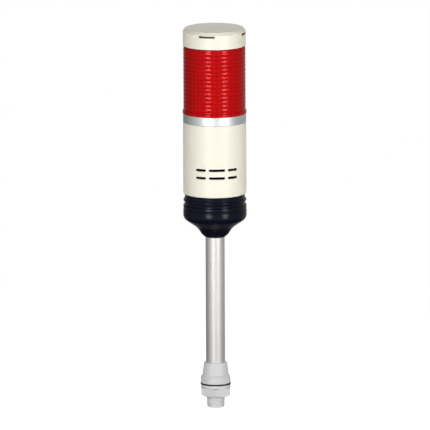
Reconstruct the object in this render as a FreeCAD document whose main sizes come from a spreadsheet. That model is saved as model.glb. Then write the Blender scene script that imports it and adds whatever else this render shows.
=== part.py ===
import FreeCAD, Part
import Sketcher
import math
import os
import re

# Signal tower with one red tier and a sounder, on a pole with a threaded panel stub.
# Z = 0 is the panel's top face, where the rubber gasket seats. The louvres face -Y.

document = FreeCAD.newDocument("stack_light")
sizes = document.addObject("Spreadsheet::Sheet", "Sizes")

DIMENSIONS = [
    # name, millimetres (or degrees, or a count), meaning
    ("stub_radius", 8.0, "threaded stub, over the thread's crest"),
    ("stub_drop", 20.8, "stub's end below the panel's top face"),
    ("stub_chamfer", 0.8, "bevel on the stub's end"),
    ("shank_relief", 0.2, "how much slimmer the stub is where the nut clamps"),
    ("cable_radius", 5.5, "cable way through the stub"),
    ("thread_gap", 0.06, "radial play of a nut on its thread"),
    ("ring_play", 0.3, "radial play of a loose ring on the stub"),
    ("clamp_radius", 13.15, "holder's flange and the washer"),
    ("gasket_radius", 13.45, "panel gasket"),
    ("gasket_thick", 1.2, "panel gasket"),
    ("washer_thick", 2.8, "lock washer"),
    ("nut_flats", 25.2, "lock nut across its flats"),
    ("nut_height", 8.2, "lock nut"),
    ("nut_foot_radius", 10.4, "flat ring left under the lock nut"),
    ("nut_foot_rise", 2.4, "height of the cone under the lock nut, at its corners"),
    ("nut_head_rise", 0.7, "height of the bevel on the lock nut's top corners"),
    ("nut_clock", 25.0, "turn of the lock nut at rest, in degrees"),
    ("flange_height", 5.4, "straight edge of the holder's flange"),
    ("step_height", 2.2, "slope from the flange to the collar"),
    ("collar_foot_radius", 11.6, "collar where it leaves the slope"),
    ("collar_top_radius", 10.2, "collar at its mouth"),
    ("collar_height", 11.2, "tapered collar"),
    ("lip_round", 0.7, "rounding of the flange's upper edge"),
    ("mouth_round", 1.2, "rounding of the collar's mouth"),
    ("socket_depth", 15.0, "how far the pole goes into the holder"),
    ("pole_radius", 8.5, "aluminium pole"),
    ("pole_wall", 1.2, "aluminium pole"),
    ("pole_gap", 0.05, "radial play of the pole in its sockets"),
    ("pole_exposed", 113.6, "pole between the collar and the base"),
    ("pole_proud", 1.5, "pole's end above its jam nut"),
    ("pin_height", 14.0, "holder screw above the flange's underside"),
    ("pin_radius", 1.25, "shank of the small screws"),
    ("pin_gap", 0.05, "radial play of a screw's shank"),
    ("pin_head_radius", 2.7, "head of the small screws"),
    ("pin_head_height", 1.6, "head of the small screws"),
    ("pin_drive_radius", 1.0, "socket in the head of the small screws"),
    ("pin_drive_depth", 0.9, "socket in the head of the small screws"),
    ("pin_reach", 0.7, "how far a radial screw goes past the wall it holds"),
    ("spot_gap", 0.3, "radial room round a screw's head"),
    ("spot_depth", 0.5, "flat cut into a round wall for a screw's head"),
    ("tail_mouth_radius", 9.3, "base's lower end, round the pole"),
    ("tail_radius", 12.1, "widest part of the base's rounded tail"),
    ("tail_height", 2.6, "height of the tail's widest part"),
    ("waist_radius", 15.8, "where the base's funnel turns outwards"),
    ("waist_height", 8.4, "where the base's funnel turns outwards"),
    ("shoulder_height", 17.0, "where funnel and band would meet"),
    ("tail_round", 3.0, "rounding of the tail"),
    ("waist_round", 16.0, "rounding of the funnel's hollow curve"),
    ("shoulder_round", 6.5, "rounding under the lowest band"),
    ("low_band_top", 25.3, "top of the lowest band"),
    ("fine_groove_depth", 0.7, "groove between the two broad bands"),
    ("fine_groove_width", 1.1, "groove between the two broad bands"),
    ("mid_band_width", 3.5, "upper broad band"),
    ("broad_groove_width", 2.4, "groove over the upper broad band"),
    ("bead_width", 2.8, "slim bead under the neck"),
    ("shoulder_proud", 0.1, "base's lowest band beyond the housing"),
    ("mid_band_inset", 0.1, "upper broad band inside the lowest one"),
    ("bead_inset", 0.3, "slim bead inside the lowest band"),
    ("neck_inset", 1.5, "neck and broad groove inside the lowest band"),
    ("neck_height", 4.3, "neck between the slim bead and the housing"),
    ("band_round", 1.1, "rounding of the slim bead and of the upper band's top"),
    ("fine_round", 0.5, "rounding beside the fine groove"),
    ("base_floor", 9.0, "solid foot of the base, above its lower end"),
    ("base_well_margin", 1.0, "base's inside at its floor, round the pole's washer"),
    ("base_well_rise", 8.5, "inside slope from the floor to the spigot's bore"),
    ("spigot_height", 12.0, "base's spigot inside the housing"),
    ("spigot_wall", 2.4, "base's spigot"),
    ("spigot_gap", 0.1, "radial play of the spigot in the housing"),
    ("seal_level", 2.6, "O-ring above the neck"),
    ("seal_width", 2.4, "O-ring's groove"),
    ("seal_depth", 1.5, "O-ring's groove"),
    ("lock_level", 8.0, "housing screw above the housing's bottom edge"),
    ("pole_washer_radius", 12.4, "washer on the base's floor"),
    ("pole_washer_thick", 1.0, "washer on the base's floor"),
    ("jam_flats", 21.0, "pole's jam nut across its flats"),
    ("jam_height", 5.0, "pole's jam nut"),
    ("housing_radius", 28.15, "housing at its bottom"),
    ("housing_taper", 0.05, "how much slimmer the housing is at its top"),
    ("housing_height", 64.6, "housing"),
    ("housing_wall", 2.0, "housing, at its top"),
    ("housing_foot_round", 1.2, "rounding of the housing's bottom edge"),
    ("deck_drop", 4.0, "deck's top face below the housing's top"),
    ("deck_thick", 2.5, "deck"),
    ("louvre_level", 21.4, "middle of the louvres above the housing's bottom"),
    ("louvre_pitch", 7.0, "between the two rows of louvres"),
    ("louvre_height", 2.4, "each louvre slot"),
    ("louvre_mid_width", 14.5, "middle slots"),
    ("louvre_side_start", 9.7, "inner end of the side slots, from the middle"),
    ("louvre_side_width", 8.5, "side slots"),
    ("board_side_gap", 1.35, "between the control board's edges and the housing's wall"),
    ("board_top_gap", 4.6, "between the control board and the lamp socket's collar"),
    ("board_thick", 1.6, "control board"),
    ("board_offset", 3.0, "control board's middle plane behind the axis"),
    ("board_gap", 0.1, "play of the board in its guides"),
    ("guide_depth", 2.4, "how far the guide ribs cover the board's edge"),
    ("guide_lip", 1.5, "thickness of each guide rib"),
    ("sounder_radius", 15.0, "sounder's case"),
    ("sounder_depth", 13.0, "sounder's case"),
    ("sounder_wall", 1.2, "sounder's case"),
    ("sounder_mouth", 5.0, "radius of the sounder's mouth"),
    ("sounder_ledge", 2.5, "diaphragm's seat behind the front"),
    ("diaphragm_thick", 0.4, "diaphragm"),
    ("terminal_width", 26.0, "terminal block"),
    ("terminal_depth", 10.0, "terminal block"),
    ("terminal_height", 12.0, "terminal block"),
    ("terminal_level", 4.0, "terminal block above the board's bottom edge"),
    ("terminal_count", 5, "screws in the terminal block"),
    ("terminal_screw_radius", 1.7, "screws in the terminal block"),
    ("terminal_screw_depth", 3.0, "screws in the terminal block"),
    ("capacitor_radius", 4.0, "capacitor"),
    ("capacitor_length", 12.0, "capacitor"),
    ("part_spacing", 11.0, "capacitor and rectifier from the board's middle"),
    ("part_drop", 10.0, "capacitor and rectifier below the board's top"),
    ("rectifier_side", 8.0, "rectifier"),
    ("rectifier_depth", 4.0, "rectifier"),
    ("plug_width", 14.0, "lamp socket"),
    ("plug_depth", 8.0, "lamp socket"),
    ("plug_above", 6.0, "lamp socket above the deck"),
    ("plug_collar", 1.5, "collar under the deck, its width and thickness"),
    ("plug_gap", 0.1, "play of the lamp socket in its holes"),
    ("trim_inset", 0.05, "silver ring inside the housing's top edge"),
    ("trim_ledge", 0.5, "silver ring's bore inside the lens's bore"),
    ("trim_height", 8.0, "silver ring"),
    ("trim_register", 3.0, "silver ring's register inside the housing"),
    ("trim_round", 0.4, "rounding of the silver ring's edges"),
    ("lens_seal_width", 1.4, "seal under the lens"),
    ("lens_seal_depth", 0.9, "groove for the seal under the lens"),
    ("lens_rim_proud", 0.25, "lens's foot rim beyond the housing"),
    ("lens_rim_height", 3.0, "lens's foot rim"),
    ("lens_rim_round", 0.8, "rounding of the foot rim"),
    ("lens_inset", 0.95, "lens between its ridges, inside its foot rim"),
    ("lens_wall", 1.75, "lens's wall between its ridges"),
    ("lens_height", 60.0, "lens up to its shoulder"),
    ("lens_roof", 2.5, "thickness of the lens's shoulder"),
    ("ridge_count", 15, "rounded ridges round the lens"),
    ("ridge_margin", 1.425, "plain wall under the lowest ridge and over the highest"),
    ("ridge_rise", 0.28, "height of a ridge"),
    ("flute_count", 40, "upright flutes inside the lens"),
    ("flute_radius", 1.6, "section of a flute"),
    ("flute_depth", 0.6, "flutes into the lens's wall"),
    ("neck_step", 2.05, "lens's shoulder round its neck"),
    ("neck_wall", 2.2, "lens's neck"),
    ("neck_length", 9.6, "lens's neck above its shoulder"),
    ("cap_seal_thick", 1.0, "seal under the cap"),
    ("cap_seal_inset", 0.9, "seal's edge behind the cap's face"),
    ("cap_inset", 0.45, "cap's wall inside the lens's foot rim"),
    ("cap_bevel", 1.7, "bevel round the cap's flat top, its width"),
    ("cap_height", 15.2, "cap"),
    ("cap_wall_height", 12.6, "cap's straight wall"),
    ("cap_roof", 5.8, "thickness of the cap's top"),
    ("cap_edge_round", 0.6, "rounding of the cap's edges"),
    ("cap_slot_level", 10.3, "underside of the cap's slots"),
    ("cap_slot_height", 1.8, "cap's slots"),
    ("cap_slot_depth", 4.0, "cap's slots"),
    ("cap_slot_angle", 30.0, "each slot, in degrees"),
    ("cap_slot_count", 4, "slots round the cap"),
    ("cap_clock", -18.7, "turn of the cap at rest, in degrees"),
    ("carrier_radius", 19.0, "foot of the lamp carrier"),
    ("carrier_foot", 2.0, "foot of the lamp carrier"),
    ("carrier_side", 21.0, "square core of the lamp carrier"),
    ("carrier_top_gap", 8.1, "between the lamp carrier and the lens's shoulder"),
    ("carrier_wall", 1.5, "square core's wall and roof"),
    ("carrier_hold", 15.0, "carrier's screws from the axis"),
    ("carrier_screw_reach", 5.0, "carrier's screws below their heads"),
    ("lamp_board_width", 17.0, "lamp boards"),
    ("lamp_board_margin", 3.0, "carrier's end above the lamp boards"),
    ("lamp_board_thick", 1.2, "lamp boards"),
    ("lamp_board_lift", 3.0, "lamp boards above the carrier's foot"),
    ("lamp_rows", 4, "lamps on each board"),
    ("lamp_radius", 2.5, "lamp"),
    ("lamp_rim", 0.4, "rim round a lamp's foot, its width"),
    ("lamp_rim_height", 1.0, "rim round a lamp's foot"),
    ("lamp_length", 6.1, "lamp up to its dome"),
]

for row, (alias, number, meaning) in enumerate(DIMENSIONS, start=1):
    sizes.set(f"A{row}", alias)
    sizes.set(f"B{row}", str(number))
    sizes.set(f"C{row}", meaning)
    sizes.setAlias(f"B{row}", alias)
document.recompute()

ALIASES = {alias for alias, _, _ in DIMENSIONS}
PIECES = []
TOLERANCE = 1e-4

# Sizes that follow from others: from the piece below or the mating piece, and a clearance.
DERIVED = {
    # Levels on the axis; those of the base are above its foot, those of the housing above its own.
    "collar_top": "gasket_thick + flange_height + step_height + collar_height",
    "pole_foot": "collar_top - socket_depth",
    "base_foot": "collar_top + pole_exposed",
    "mid_band_foot": "low_band_top + fine_groove_width",
    "mid_band_top": "mid_band_foot + mid_band_width",
    "bead_foot": "mid_band_top + broad_groove_width",
    "bead_top": "bead_foot + bead_width",
    "neck_top": "bead_top + neck_height",
    "housing_foot": "base_foot + neck_top",
    "deck_top": "housing_height - deck_drop",
    "deck_foot": "deck_top - deck_thick",
    "trim_foot": "housing_foot + housing_height",
    "lens_foot": "trim_foot + trim_height",
    "cap_seal_foot": "lens_foot + lens_height",
    "cap_foot": "cap_seal_foot + cap_seal_thick",
    "carrier_seat": "housing_foot + deck_top",
    "board_foot": "housing_foot + spigot_height",
    # Radii.
    "shank_radius": "stub_radius - shank_relief",
    "pole_socket": "pole_radius + pole_gap",
    "pin_hole": "pin_radius + pin_gap",
    "pin_spot": "pin_head_radius + spot_gap",
    "shoulder_radius": "housing_radius + shoulder_proud",
    "mid_band_radius": "shoulder_radius - mid_band_inset",
    "bead_radius": "shoulder_radius - bead_inset",
    "neck_radius": "shoulder_radius - neck_inset",
    "base_well_radius": "pole_washer_radius + base_well_margin",
    "housing_top_radius": "housing_radius - housing_taper",
    "housing_bore": "housing_top_radius - housing_wall",
    "spigot_radius": "housing_bore - spigot_gap",
    "lock_seat": "housing_top_radius - spot_depth",
    "trim_radius": "housing_top_radius - trim_inset",
    "lens_rim_radius": "housing_radius + lens_rim_proud",
    "lens_radius": "lens_rim_radius - lens_inset",
    "lens_bore": "lens_radius - lens_wall",
    "trim_bore": "lens_bore - trim_ledge",
    "neck_thread_radius": "lens_radius - neck_step",
    "neck_bore": "neck_thread_radius - neck_wall",
    "cap_bore": "neck_thread_radius + thread_gap",
    "cap_radius": "lens_rim_radius - cap_inset",
    "cap_disc_radius": "cap_radius - cap_bevel",
    # Pieces that fill the room which the shells leave them.
    "board_width": "(housing_bore - board_side_gap) * 2",
    "board_height": "deck_foot - plug_collar - board_top_gap - spigot_height",
    "part_level": "board_height - part_drop",
    "ridge_pitch": "(lens_height - lens_rim_height - ridge_margin * 2) / ridge_count",
    "carrier_height": "deck_drop + trim_height + lens_height - lens_roof - carrier_top_gap",
    "lamp_board_height": "carrier_height - carrier_foot - lamp_board_lift - lamp_board_margin",
    "lamp_pitch": "lamp_board_height / lamp_rows",
}


def names(text):
    """The expression with each size read from the sheet, and each derived size written out."""

    def spell(word):
        if word[0] in DERIVED:
            return f"({names(DERIVED[word[0]])})"
        return f"Sizes.{word[0]}" if word[0] in ALIASES else word[0]

    return re.sub(r"[a-z_]+", spell, text)


def value(text):
    """The number that an expression on the sizes gives."""
    result = sizes.evalExpression(names(text))
    return float(getattr(result, "Value", result))


def bind(thing, path, text):
    thing.setExpression(path, names(text))


def place(thing, x="0", y="0", z="0", axis=None, degrees=None):
    """Bind a piece's Placement; degrees may be a number or an expression."""
    if axis is not None:
        turn = FreeCAD.Rotation(FreeCAD.Vector(*axis), value(str(degrees)))
        thing.Placement = FreeCAD.Placement(FreeCAD.Vector(), turn)
        bind(thing, "Placement.Rotation.Angle", str(degrees))
    for letter, text in zip("xyz", (x, y, z)):
        bind(thing, f"Placement.Base.{letter}", text)


def keep(thing, label):
    """Name a finished sub-part, so that it is checked and written out."""
    thing.Label = label
    PIECES.append(thing)
    return thing


def new_body(label, **where):
    body = document.addObject("PartDesign::Body", label)
    place(body, **where)
    return keep(body, label)


def new_sketch(body, name, role="XZ_Plane", offset=None):
    """A sketch on one of the body's origin planes, moved along its normal by an expression."""
    sketch = body.newObject("Sketcher::SketchObject", name)
    plane = next(item for item in body.Origin.OriginFeatures if item.Role == role)
    sketch.AttachmentSupport = [(plane, "")]
    sketch.MapMode = "FlatFace"
    if offset is not None:
        bind(sketch, "AttachmentOffset.Base.z", offset)
    return sketch


def pin_point(sketch, geometry, point, x, y):
    """Hold a sketch point at distances from the origin that follow the sizes."""
    for kind, text in (("DistanceX", x), ("DistanceY", y)):
        index = sketch.addConstraint(
            Sketcher.Constraint(kind, -1, 1, geometry, point, value(text))
        )
        bind(sketch, f"Constraints[{index}]", text)


def add_outline(sketch, corners):
    """A closed outline of straight lines through corners given as pairs of expressions."""
    points = [FreeCAD.Vector(value(x), value(y), 0) for x, y in corners]
    first = sketch.GeometryCount
    count = len(points)
    for index in range(count):
        sketch.addGeometry(Part.LineSegment(points[index], points[(index + 1) % count]))
    for index in range(count):
        following = first + (index + 1) % count
        sketch.addConstraint(Sketcher.Constraint("Coincident", first + index, 2, following, 1))
    for index, (x, y) in enumerate(corners):
        pin_point(sketch, first + index, 1, x, y)


def add_rectangle(sketch, left, right, low, high):
    add_outline(sketch, [(left, low), (right, low), (right, high), (left, high)])


def add_circle(sketch, x, y, radius):
    centre = FreeCAD.Vector(value(x), value(y), 0)
    circle = Part.Circle(centre, FreeCAD.Vector(0, 0, 1), value(radius))
    geometry = sketch.addGeometry(circle)
    pin_point(sketch, geometry, 3, x, y)
    index = sketch.addConstraint(Sketcher.Constraint("Radius", geometry, value(radius)))
    bind(sketch, f"Constraints[{index}]", radius)


def add_slot(sketch, left, right, level, height):
    """A level slot with round ends."""
    half = value(height) / 2
    middle = value(level)
    ends = []
    for x, angles in ((left, (90, 270)), (right, (270, 450))):
        centre = FreeCAD.Vector(value(x), middle, 0)
        start, stop = (math.radians(angle) for angle in angles)
        circle = Part.Circle(centre, FreeCAD.Vector(0, 0, 1), half)
        ends.append(sketch.addGeometry(Part.ArcOfCircle(circle, start, stop)))
    from_left, from_right = ends
    for side in (-1, 1):
        start = FreeCAD.Vector(value(left), middle + side * half, 0)
        stop = FreeCAD.Vector(value(right), middle + side * half, 0)
        line = sketch.addGeometry(Part.LineSegment(start, stop))
        left_end, right_end = (2, 1) if side < 0 else (1, 2)
        sketch.addConstraint(Sketcher.Constraint("Tangent", line, 1, from_left, left_end))
        sketch.addConstraint(Sketcher.Constraint("Tangent", line, 2, from_right, right_end))
    pin_point(sketch, from_left, 3, left, level)
    pin_point(sketch, from_right, 3, right, level)
    index = sketch.addConstraint(Sketcher.Constraint("Radius", from_left, half))
    bind(sketch, f"Constraints[{index}]", f"({height}) / 2")


def spin(body, name, corners, cut=False, degrees="360"):
    """Turn an outline of (radius, height) corners about Z, to add to the body or to cut it."""
    sketch = new_sketch(body, f"{name}_outline")
    add_outline(sketch, corners)
    kind = "PartDesign::Groove" if cut else "PartDesign::Revolution"
    feature = body.newObject(kind, name)
    feature.Profile = sketch
    feature.ReferenceAxis = (sketch, ["V_Axis"])
    feature.Midplane = True
    bind(feature, "Angle", degrees)
    return settle(body, feature, cut)


def extrude(body, name, sketch, length, cut=False, reverse=False):
    """Pad a sketch along its normal, or pocket the body against it."""
    feature = body.newObject("PartDesign::Pocket" if cut else "PartDesign::Pad", name)
    feature.Profile = sketch
    feature.Reversed = reverse
    bind(feature, "Length", length)
    return settle(body, feature, cut)


def settle(body, feature, cut):
    """Recompute, and make sure that the feature added or removed material."""
    before = feature.BaseFeature.Shape.Volume if feature.BaseFeature else 0.0
    document.recompute()
    change = feature.Shape.Volume - before
    if (change >= 0) if cut else (change <= 0):
        raise ValueError(f"{feature.Name} left {body.Label} as it was")
    return feature


def repeat_round(body, name, feature, count):
    """Repeat a feature evenly round Z."""
    pattern = body.newObject("PartDesign::PolarPattern", name)
    pattern.Originals = [feature]
    pattern.Axis = (next(i for i in body.Origin.OriginFeatures if i.Role == "Z_Axis"), [""])
    pattern.Angle = 360
    bind(pattern, "Occurrences", count)
    body.Tip = pattern
    document.recompute()
    return pattern


def repeat_up(body, name, feature, count, pitch):
    """Repeat a feature along Z."""
    pattern = body.newObject("PartDesign::LinearPattern", name)
    pattern.Originals = [feature]
    pattern.Direction = (next(i for i in body.Origin.OriginFeatures if i.Role == "Z_Axis"), [""])
    pattern.Mode = "Spacing"
    bind(pattern, "Offset", pitch)
    bind(pattern, "Occurrences", count)
    body.Tip = pattern
    document.recompute()
    return pattern


def round_rings(body, name, rings, radius):
    """Fillet the circular edges at the given (radius, height) pairs."""
    base = body.Tip
    wanted = [(value(ring), value(level)) for ring, level in rings]
    edges = []
    for number, edge in enumerate(base.Shape.Edges, start=1):
        curve = edge.Curve
        if not isinstance(curve, Part.Circle):
            continue
        found = (curve.Radius, curve.Center.z)
        if any(all(abs(a - b) < TOLERANCE for a, b in zip(found, want)) for want in wanted):
            edges.append(f"Edge{number}")
    feature = body.newObject("PartDesign::Fillet", name)
    feature.Base = (base, edges)
    bind(feature, "Radius", radius)
    document.recompute()
    return feature


def ring(label, inner, outer, thick, **where):
    """A flat ring standing on its own seat."""
    body = new_body(label, **where)
    spin(body, f"{label}_ring", [(inner, "0"), (outer, "0"), (outer, thick), (inner, thick)])
    return body


def hexagon_nut(label, flats, height, bore, foot_radius, foot_rise, **where):
    """A nut that hangs from its top face, with a cone under its corners."""
    body = new_body(label, **where)
    blank = new_sketch(body, f"{label}_hexagon", "XY_Plane")
    corner = f"{flats} / 2 / cos(30)"
    add_outline(blank, [(f"{corner} * cos({60 * k})", f"{corner} * sin({60 * k})") for k in range(6)])
    extrude(body, f"{label}_blank", blank, height, reverse=True)
    beyond = f"{flats} * 0.6"
    foot = f"-({height})"
    spin(
        body,
        f"{label}_foot",
        [(foot_radius, foot), (beyond, foot), (beyond, f"{foot} + {foot_rise}")],
        cut=True,
    )
    crown = f"{flats} / 2 - nut_head_rise / 2"
    spin(body, f"{label}_head", [(crown, "0"), (beyond, "0"), (beyond, "-nut_head_rise")], cut=True)
    hole = new_sketch(body, f"{label}_hole", "XY_Plane")
    add_circle(hole, "0", "0", bore)
    extrude(body, f"{label}_bore", hole, height, cut=True)
    return body


def back_hole(body, name, level, radius, start, length):
    """A round cut towards +Y, from a plane at distance start behind the axis."""
    sketch = new_sketch(body, f"{name}_circle", offset=f"-({start})")
    add_circle(sketch, "0", level, radius)
    return extrude(body, name, sketch, length, cut=True)


def pan_screw(label, shank, **where):
    """A pan head screw along its own Z, with the underside of its head at zero."""
    body = document.addObject("PartDesign::Body", label)
    place(body, **where)
    drive_floor = "pin_head_height - pin_drive_depth"
    corners = [
        ("0", f"-({shank})"),
        ("pin_radius", f"-({shank})"),
        ("pin_radius", "0"),
        ("pin_head_radius", "0"),
        ("pin_head_radius", "pin_head_height"),
        ("pin_drive_radius", "pin_head_height"),
        ("pin_drive_radius", drive_floor),
        ("0", drive_floor),
    ]
    spin(body, f"{label}_turned", corners)
    round_rings(body, f"{label}_dome", [("pin_head_radius", "pin_head_height")], "pin_head_height / 2")
    return body


def cylinder(name, radius, length, **where):
    solid = document.addObject("Part::Cylinder", name)
    bind(solid, "Radius", radius)
    bind(solid, "Height", length)
    place(solid, **where)
    return solid


def box(name, length, width, height, **where):
    solid = document.addObject("Part::Box", name)
    bind(solid, "Length", length)
    bind(solid, "Width", width)
    bind(solid, "Height", height)
    place(solid, **where)
    return solid


def joined(kind, name, parts):
    """A Part::MultiFuse or Part::Compound of the given objects."""
    result = document.addObject(kind, name)
    setattr(result, "Shapes" if kind == "Part::MultiFuse" else "Links", parts)
    return result


# Holder, gasket, washer and nut: what clamps the tower to a panel.

def build_holder():
    stub_end = "-gasket_thick - stub_drop"
    clamp_foot = "-gasket_thick - washer_thick - nut_height"
    collar_foot = "flange_height + step_height"
    mouth = f"{collar_foot} + collar_height"
    socket_floor = f"{mouth} - socket_depth"
    body = new_body("pole_holder", z="gasket_thick")
    spin(body, "holder_turned", [
        ("cable_radius", stub_end),
        ("stub_radius - stub_chamfer", stub_end),
        ("stub_radius", f"{stub_end} + stub_chamfer"),
        ("stub_radius", clamp_foot),
        ("shank_radius", clamp_foot),
        ("shank_radius", "0"),
        ("clamp_radius", "0"),
        ("clamp_radius", "flange_height"),
        ("collar_foot_radius", collar_foot),
        ("collar_top_radius", mouth),
        ("pole_socket", mouth),
        ("pole_socket", socket_floor),
        ("cable_radius", socket_floor),
    ])
    round_rings(body, "flange_lip", [("clamp_radius", "flange_height")], "lip_round")
    round_rings(body, "collar_lip", [("collar_top_radius", mouth)], "mouth_round")
    back_hole(body, "holder_pin_hole", "pin_height", "pin_hole", "0", "clamp_radius")
    seat = "collar_top_radius - spot_depth"
    back_hole(body, "holder_spot", "pin_height", "pin_spot", seat, "clamp_radius")


def build_clamp():
    ring("panel_gasket", "stub_radius + ring_play", "gasket_radius", "gasket_thick")
    ring("lock_washer", "stub_radius + ring_play", "clamp_radius", "washer_thick", z="-washer_thick")
    hexagon_nut(
        "lock_nut",
        "nut_flats",
        "nut_height",
        "stub_radius + thread_gap",
        "nut_foot_radius",
        "nut_foot_rise",
        z="-washer_thick",
        axis=(0, 0, 1),
        degrees="nut_clock",
    )


def build_pole():
    length = "socket_depth + pole_exposed + base_floor + pole_washer_thick + jam_height + pole_proud"
    body = ring("pole_tube", "pole_radius - pole_wall", "pole_radius", length, z="pole_foot")
    level = "gasket_thick + pin_height - pole_foot"
    back_hole(body, "pole_pin_hole", level, "pin_hole", "0", "pole_radius + 1")
    seat = "collar_top_radius - spot_depth"
    shank = f"{seat} - pole_radius + pole_wall + pin_reach"
    screw = pan_screw(
        "holder_screw", shank, y=seat, z="gasket_thick + pin_height", axis=(1, 0, 0), degrees=-90
    )
    keep(screw, "holder_screw")
    floor = "base_foot + base_floor"
    ring("pole_washer", "pole_radius + ring_play", "pole_washer_radius", "pole_washer_thick", z=floor)
    hexagon_nut(
        "pole_nut",
        "jam_flats",
        "jam_height",
        "pole_radius + thread_gap",
        "jam_flats / 2",
        "nut_head_rise",
        z=f"{floor} + pole_washer_thick + jam_height",
    )


# Base, housing and what the housing holds.

def build_base():
    fine_radius = "shoulder_radius - fine_groove_depth"
    spigot_bore = "spigot_radius - spigot_wall"
    spigot_top = "neck_top + spigot_height"
    body = new_body("base_cone", z="base_foot")
    spin(body, "base_turned", [
        ("pole_socket", "0"),
        ("tail_mouth_radius", "0"),
        ("tail_radius", "tail_height"),
        ("waist_radius", "waist_height"),
        ("shoulder_radius", "shoulder_height"),
        ("shoulder_radius", "low_band_top"),
        (fine_radius, "low_band_top"),
        (fine_radius, "mid_band_foot"),
        ("mid_band_radius", "mid_band_foot"),
        ("mid_band_radius", "mid_band_top"),
        ("neck_radius", "mid_band_top"),
        ("neck_radius", "bead_foot"),
        ("bead_radius", "bead_foot"),
        ("bead_radius", "bead_top"),
        ("neck_radius", "bead_top"),
        ("neck_radius", "neck_top"),
        ("spigot_radius", "neck_top"),
        ("spigot_radius", spigot_top),
        (spigot_bore, spigot_top),
        (spigot_bore, "base_floor + base_well_rise"),
        ("base_well_radius", "base_floor"),
        ("pole_socket", "base_floor"),
    ])
    round_rings(body, "tail_rounded", [("tail_radius", "tail_height")], "tail_round")
    round_rings(body, "waist_hollowed", [("waist_radius", "waist_height")], "waist_round")
    round_rings(body, "shoulder_rounded", [("shoulder_radius", "shoulder_height")], "shoulder_round")
    soft = [("mid_band_radius", "mid_band_top"), ("bead_radius", "bead_foot"), ("bead_radius", "bead_top")]
    round_rings(body, "bands_rounded", soft, "band_round")
    fine = [("shoulder_radius", "low_band_top"), ("mid_band_radius", "mid_band_foot")]
    round_rings(body, "fine_edges_rounded", fine, "fine_round")
    low = "neck_top + seal_level - seal_width / 2"
    high = "neck_top + seal_level + seal_width / 2"
    floor = "spigot_radius - seal_depth"
    beyond = "spigot_radius + 1"
    spin(body, "seal_groove", [(floor, low), (beyond, low), (beyond, high), (floor, high)], cut=True)
    back_hole(body, "lock_pilot", "neck_top + lock_level", "pin_hole", "0", "housing_radius")
    seal_section = f"(housing_bore - ({floor})) / 2 - pin_gap"
    seal = document.addObject("Part::Torus", "base_seal")
    bind(seal, "Radius1", f"(housing_bore + ({floor})) / 2")
    bind(seal, "Radius2", seal_section)
    place(seal, z="housing_foot + seal_level")
    keep(seal, "base_seal")


def cut_louvres(body):
    """Two rows of three round-ended slots through the front wall."""
    sketch = new_sketch(body, "louvre_slots")
    half = "louvre_height / 2"
    middle = "louvre_mid_width / 2"
    side_end = "louvre_side_start + louvre_side_width"
    for side in ("-", "+"):
        level = f"louvre_level {side} louvre_pitch / 2"
        add_slot(sketch, f"-{middle} + {half}", f"{middle} - {half}", level, "louvre_height")
        add_slot(sketch, f"louvre_side_start + {half}", f"{side_end} - {half}", level, "louvre_height")
        add_slot(sketch, f"-({side_end}) + {half}", f"-louvre_side_start - {half}", level, "louvre_height")
    extrude(body, "louvres", sketch, "housing_radius + 1", cut=True, reverse=True)


def add_guides(body):
    """Ribs in pairs, which hold the control board's two edges."""
    sketch = new_sketch(body, "guide_ribs", "XY_Plane", offset="spigot_height")
    inner = "board_width / 2 - guide_depth"
    outer = "housing_bore + housing_wall / 4"
    front = "board_offset - board_thick / 2 - board_gap"
    back = "board_offset + board_thick / 2 + board_gap"
    for left, right in ((inner, outer), (f"-({outer})", f"-({inner})")):
        add_rectangle(sketch, left, right, f"{front} - guide_lip", front)
        add_rectangle(sketch, left, right, back, f"{back} + guide_lip")
    extrude(body, "guides", sketch, "deck_foot - spigot_height")


def cut_deck(body):
    """The lamp socket's opening and two screw holes through the deck."""
    wide = "plug_width / 2 + plug_gap"
    deep = "plug_depth / 2 + plug_gap"
    sketch = new_sketch(body, "deck_openings", "XY_Plane", offset="deck_foot - deck_thick")
    add_rectangle(sketch, f"-({wide})", wide, f"-({deep})", deep)
    for side in ("-", ""):
        add_circle(sketch, f"{side}carrier_hold", "0", "pin_hole")
    extrude(body, "deck_cut", sketch, "deck_thick * 3", cut=True, reverse=True)


def build_housing():
    body = new_body("housing", z="housing_foot")
    spin(body, "housing_turned", [
        ("housing_bore", "0"),
        ("housing_radius", "0"),
        ("housing_top_radius", "housing_height"),
        ("housing_bore", "housing_height"),
    ])
    round_rings(body, "housing_foot", [("housing_radius", "0")], "housing_foot_round")
    in_wall = "housing_bore + housing_wall / 2"
    corners = [("0", "deck_foot"), (in_wall, "deck_foot"), (in_wall, "deck_top"), ("0", "deck_top")]
    spin(body, "deck", corners)
    cut_louvres(body)
    add_guides(body)
    cut_deck(body)
    back_hole(body, "lock_hole", "lock_level", "pin_hole", "0", "housing_radius + 1")
    back_hole(body, "lock_spot", "lock_level", "pin_spot", "lock_seat", "housing_radius")
    shank = "lock_seat - spigot_radius + spigot_wall + pin_reach"
    level = "housing_foot + lock_level"
    screw = pan_screw("housing_screw", shank, y="lock_seat", z=level, axis=(1, 0, 0), degrees=-90)
    keep(screw, "housing_screw")


def build_board():
    board = box(
        "control_board",
        "board_width",
        "board_thick",
        "board_height",
        x="-board_width / 2",
        y="board_offset - board_thick / 2",
        z="board_foot",
    )
    keep(board, "control_board")
    back = "board_offset + board_thick / 2"
    level = "board_foot + part_level"
    capacitor = cylinder(
        "capacitor", "capacitor_radius", "capacitor_length",
        x="part_spacing", y=back, z=level, axis=(1, 0, 0), degrees=-90,
    )
    keep(capacitor, "capacitor")
    rectifier = box(
        "rectifier", "rectifier_side", "rectifier_depth", "rectifier_side",
        x="-part_spacing - rectifier_side / 2", y=back, z=f"{level} - rectifier_side / 2",
    )
    keep(rectifier, "rectifier")


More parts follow.
